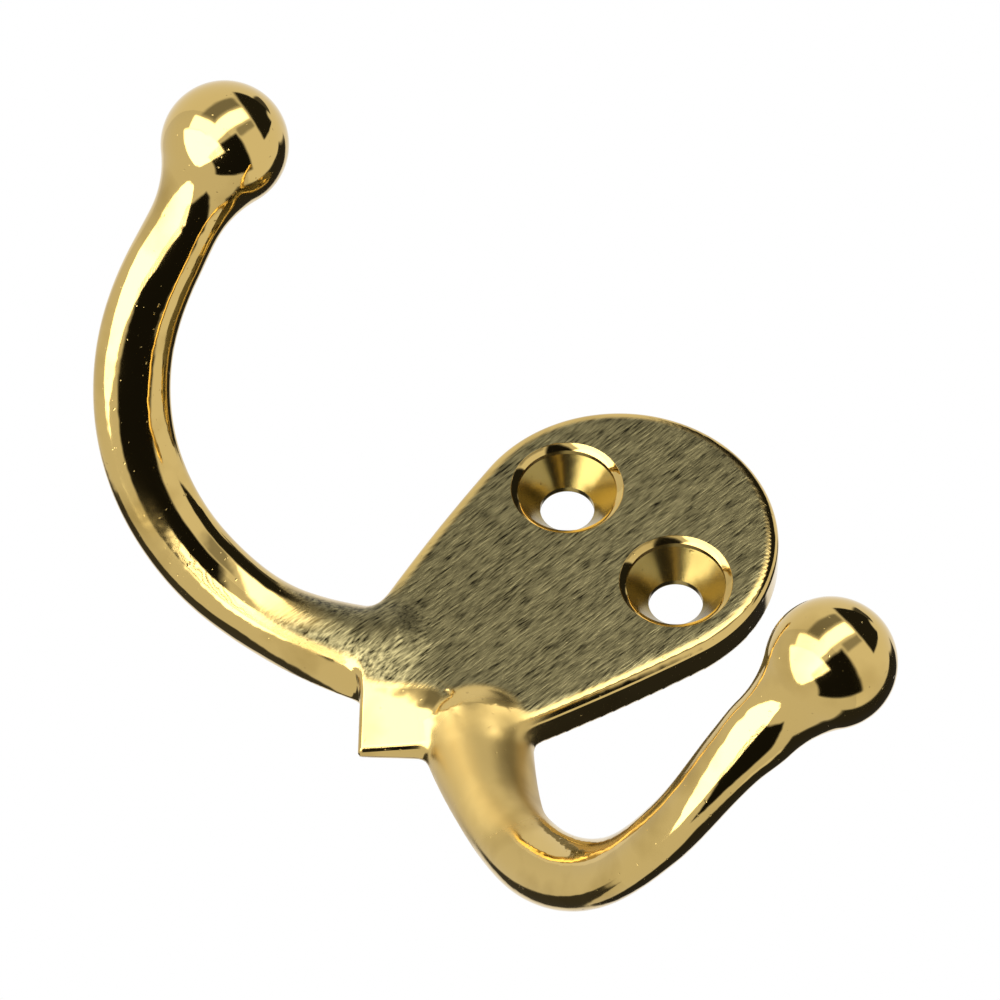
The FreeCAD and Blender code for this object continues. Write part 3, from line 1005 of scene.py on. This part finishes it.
        # a mirror that dulls with the tarnish and in the hazy corner, and scratches that shine
        ends = ("From Min", "From Max", "To Min", "To Max")
        settings = dict(zip(ends, self.dull_range + self.polished_roughness))
        gloss = add_node(tree, "ShaderNodeMapRange", settings, {"Value": patches})
        settings = dict(zip(ends, self.scratch_range + self.brushed_roughness[::-1]))
        matt = add_node(tree, "ShaderNodeMapRange", settings, {"Value": both})
        haze = add_node(tree, "ShaderNodeAttribute", {"attribute_name": HAZE}).outputs["Fac"]
        hazy = add_node(tree, "ShaderNodeMath", {"operation": "MULTIPLY_ADD", 1: self.haze_roughness},
                        {0: haze, 2: gloss.outputs[0]})
        rough = add_node(tree, "ShaderNodeMix", {"data_type": "FLOAT"},
                         {0: share, 2: hazy.outputs[0], 3: matt.outputs[0]})
        depth = add_node(tree, "ShaderNodeMath", {"operation": "MULTIPLY"}, {0: both, 1: share})
        shader = add_node(tree, "ShaderNodeBsdfPrincipled", {"Metallic": 1.0},
                          {"Base Color": colour.outputs[2], "Roughness": rough.outputs[0],
                           "Normal": self.relief(tree, place, depth.outputs[0])})
        add_node(tree, "ShaderNodeOutputMaterial", links={"Surface": shader.outputs[0]})
        return material


# The countersink's cone and bore are duller than the buffed polish, and their darker colour is painted
# shade in the hole's recess.
TURNED_BRASS_SHADED = CastBrass(name="turned_cast_brass_painted_shade", polished="9a864c", tarnished="6a5a30",
                         polished_roughness=(0.2, 0.28))


# Studio


@dataclass
class Card:
    """Studio card: a patch of a large sphere round the hook, with faded edges.

    Only the polish shows it.  Azimuth, elevation and fade are in degrees, the
    azimuth from -Y towards +X, and the sphere's radius is in metres.
    """

    name: str
    azimuth: Pair
    elevation: Pair
    strength: float
    fade: float = 4.0
    distance: float = 0.58
    points: int = 33

    def build(self) -> Object:
        """Grid over the patch's azimuths and elevations, seen only by what mirrors it.

        Each point is the sphere's radius along (sin a cos e, -cos a cos e,
        sin e).  Its share eases from 0, where the card is clear, at the edges
        to 1 one fade inside.

        Returns:
            The card.
        """
        n = self.points
        across, up = np.linspace(*self.azimuth, n), np.linspace(*self.elevation, n)
        a, e = np.meshgrid(across, up, indexing="ij")
        shade = np.ones_like(a)
        for angle, (low, high) in ((a, self.azimuth), (e, self.elevation)):
            shade *= ease(np.minimum(angle - low, high - angle), 0.0, self.fade)
        a, e = np.radians(a), np.radians(e)
        xyz = np.stack([np.sin(a) * np.cos(e), -np.cos(a) * np.cos(e), np.sin(e)], axis=-1)
        faces = grid_faces(n, n, closed=False)
        card = add_mesh(self.name, xyz.reshape(-1, 3) * self.distance, faces.tolist())
        set_share(card.data, SHADE, shade.ravel())
        card.visible_camera = card.visible_diffuse = card.visible_shadow = False
        material = bpy.data.materials.new(self.name)
        tree = empty_tree(material)
        share = add_node(tree, "ShaderNodeAttribute", {"attribute_name": SHADE}).outputs["Fac"]
        clear = add_node(tree, "ShaderNodeBsdfTransparent").outputs[0]
        light = {"Color": WHITE, "Strength": self.strength}
        glow = add_node(tree, "ShaderNodeEmission", light).outputs[0]
        mix = add_node(tree, "ShaderNodeMixShader", links={0: share, 1: clear, 2: glow})
        add_node(tree, "ShaderNodeOutputMaterial", links={"Surface": mix.outputs[0]})
        card.data.materials.append(material)
        return card


@dataclass
class Studio:
    """Camera at the photograph's angle, soft lamp, pale floor and white background.

    The camera's angles are in degrees, its distance and target in mm, its scale
    in pixels for a millimetre at the target, and middle is the pixel that the
    target lands on.  Floor and lamp are in metres.
    """

    azimuth: float = 28.2
    elevation: float = -24.1
    roll: float = 53.0
    distance: float = 864.0
    target: Triple = (0.0, -3.8, 0.0)
    scale: float = 11.35
    middle: Pair = (621.4, 534.2)
    photo_width: float = 1000.0
    sensor_width: float = 36.0
    clip: Pair = (0.05, 20.0)
    soft_light: float = 0.5
    floor_half: float = 6.0
    floor_drop: float = 0.62
    floor_grey: float = 0.8
    floor_glow: float = 0.7
    lamp_place: Triple = (-0.5, -0.6, 1.9)
    lamp_size: float = 1.2
    lamp_power: float = 18.0
    cards: tuple[Card, ...] = (
        Card("dark_side_card", (19.0, 98.0), (-62.0, 6.0), 0.01),
        Card("dark_top_card", (-64.0, 66.0), (42.0, 84.0), 0.02),
        Card("dark_overhead_card", (-100.0, -58.0), (62.0, 88.0), 0.08),
        Card("dark_rear_card", (122.0, 182.0), (-24.0, 66.0), 0.03),
        Card("dark_rear_low_card", (-180.0, -134.0), (-62.0, -12.0), 0.06),
        Card("dim_left_card", (-46.0, -13.0), (-14.0, 44.0), 0.28, fade=8.0),
        Card("dim_right_card", (13.0, 34.0), (4.0, 44.0), 0.4, fade=6.0),
        Card("bright_low_card", (-66.0, 40.0), (-88.0, -30.0), 4.8),
        Card("bright_step_card", (-54.0, -9.0), (-34.0, -11.0), 4.0),
        Card("bright_strip", (-15.0, 13.0), (-36.0, 42.0), 4.0),
    )

    def camera(self) -> None:
        """Place the camera, turned so that the target lands on its pixel of the photograph."""
        az, el, roll = (math.radians(v) for v in (self.azimuth, self.elevation, self.roll))
        back = np.array([math.sin(az) * math.cos(el), -math.cos(az) * math.cos(el), math.sin(el)])
        level = np.cross([0.0, 0.0, 1.0], back)
        level /= np.linalg.norm(level)
        upright = np.cross(back, level)
        right = math.cos(roll) * level + math.sin(roll) * upright
        up = -math.sin(roll) * level + math.cos(roll) * upright
        place = np.array(self.target) + back * self.distance
        focal = self.scale * self.distance
        across, down = (pixel - self.photo_width / 2 for pixel in self.middle)
        ahead = -back * focal - right * across + up * down
        ahead /= np.linalg.norm(ahead)
        right = right - ahead * (right @ ahead)
        right /= np.linalg.norm(right)
        up = np.cross(right, ahead)
        turn = Matrix([[right[i], up[i], -ahead[i]] for i in range(3)])
        data = bpy.data.cameras.new("camera")
        data.sensor_width = self.sensor_width
        data.lens = focal / self.photo_width * self.sensor_width
        data.clip_start, data.clip_end = self.clip
        camera = add_object("camera", data)
        camera.matrix_world = Matrix.Translation(Vector(place * MM)) @ turn.to_4x4()
        bpy.context.scene.camera = camera

    def white_to_eye(self, tree: NodeTree) -> NodeSocket:
        """What tells rays to the eye from the light itself.

        Args:
            tree: node tree that takes the nodes.

        Returns:
            Socket that is 1 for rays from the camera, from a mirror or through
            glass, and 0 for the others.
        """
        path = add_node(tree, "ShaderNodeLightPath").outputs
        mirrored = add_node(tree, "ShaderNodeMath", {"operation": "MAXIMUM"},
                            {0: path["Is Glossy Ray"], 1: path["Is Transmission Ray"]})
        return add_node(tree, "ShaderNodeMath", {"operation": "MAXIMUM"},
                        {0: path["Is Camera Ray"], 1: mirrored.outputs[0]}).outputs[0]

    def world(self) -> None:
        """Plain white surroundings for the camera and the polish, softer ones for the light."""
        world = bpy.data.worlds.new("studio")
        bpy.context.scene.world = world
        tree = empty_tree(world)
        plain = add_node(tree, "ShaderNodeBackground", {"Color": WHITE, "Strength": 1.0}).outputs[0]
        dim = {"Color": WHITE, "Strength": self.soft_light}
        soft = add_node(tree, "ShaderNodeBackground", dim).outputs[0]
        links = {0: self.white_to_eye(tree), 1: soft, 2: plain}
        mix = add_node(tree, "ShaderNodeMixShader", links=links)
        add_node(tree, "ShaderNodeOutputWorld", links={"Surface": mix.outputs[0]})

    def floor(self) -> None:
        """Pale floor far below, where it can't hide the hook from a camera that looks up at it.

        Part of its white is its own and the rest is lit, so that a shadow still shows on it.
        """
        square = np.array([(-1.0, -1.0), (1.0, -1.0), (1.0, 1.0), (-1.0, 1.0)]) * self.floor_half
        points = np.column_stack([square, np.full(4, -self.floor_drop)])
        floor = add_mesh("floor", points, [(0, 1, 2, 3)])
        material = bpy.data.materials.new("pale_floor_paint")
        tree = empty_tree(material)
        grey = (self.floor_grey, self.floor_grey, self.floor_grey, 1.0)
        paint = add_node(tree, "ShaderNodeBsdfDiffuse", {"Color": grey}).outputs[0]
        own = add_node(tree, "ShaderNodeEmission", {"Color": WHITE, "Strength": 1.0}).outputs[0]
        part = add_node(tree, "ShaderNodeMath", {"operation": "MULTIPLY", 1: self.floor_glow},
                        {0: self.white_to_eye(tree)}).outputs[0]
        mix = add_node(tree, "ShaderNodeMixShader", links={0: part, 1: paint, 2: own})
        add_node(tree, "ShaderNodeOutputMaterial", links={"Surface": mix.outputs[0]})
        floor.data.materials.append(material)

    def lamp(self) -> None:
        """One large soft lamp overhead, which gives the floor its shadow."""
        data = bpy.data.lights.new("overhead", "AREA")
        data.shape = "DISK"
        data.size = self.lamp_size
        data.energy = self.lamp_power
        lamp = add_object("overhead", data)
        lamp.location = self.lamp_place
        lamp.rotation_euler = Vector(self.lamp_place).to_track_quat("Z", "Y").to_euler()
        lamp.visible_glossy = False

    def build(self) -> None:
        """Camera, world, floor, lamp and the cards round the hook."""
        self.camera()
        self.world()
        self.floor()
        self.lamp()
        for card in self.cards:
            card.build()


def main() -> None:
    """Build the hook and the studio round it, and report each piece."""
    logging.basicConfig(level=logging.INFO, format="%(name)s: %(message)s")
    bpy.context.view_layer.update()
    bpy.context.scene.view_settings.view_transform = "Standard"
    # turned: the cone's and bore's finish, whose darker colour is painted shade in the recess
    brass, turned = CastBrass().material(), TURNED_BRASS_SHADED.material()
    casting = HookCasting(SpadePlate(), BallArm())
    skin = casting.build(brass)
    cups = []
    for side in Side:
        cup = ScrewCup(centre=side.value * casting.hole_spacing / 2,
                       plate_thickness=casting.plate.thickness)
        cups.append(cup.build("screw_cup_" + side.name.lower(), brass, turned))
    for piece in [skin] + cups:
        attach(piece, "root")
        LOG.info("%s: %d faces", piece.name, len(piece.data.polygons))
    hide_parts("hook_casting")
    Studio().build()


if __name__ == "__main__":
    main()
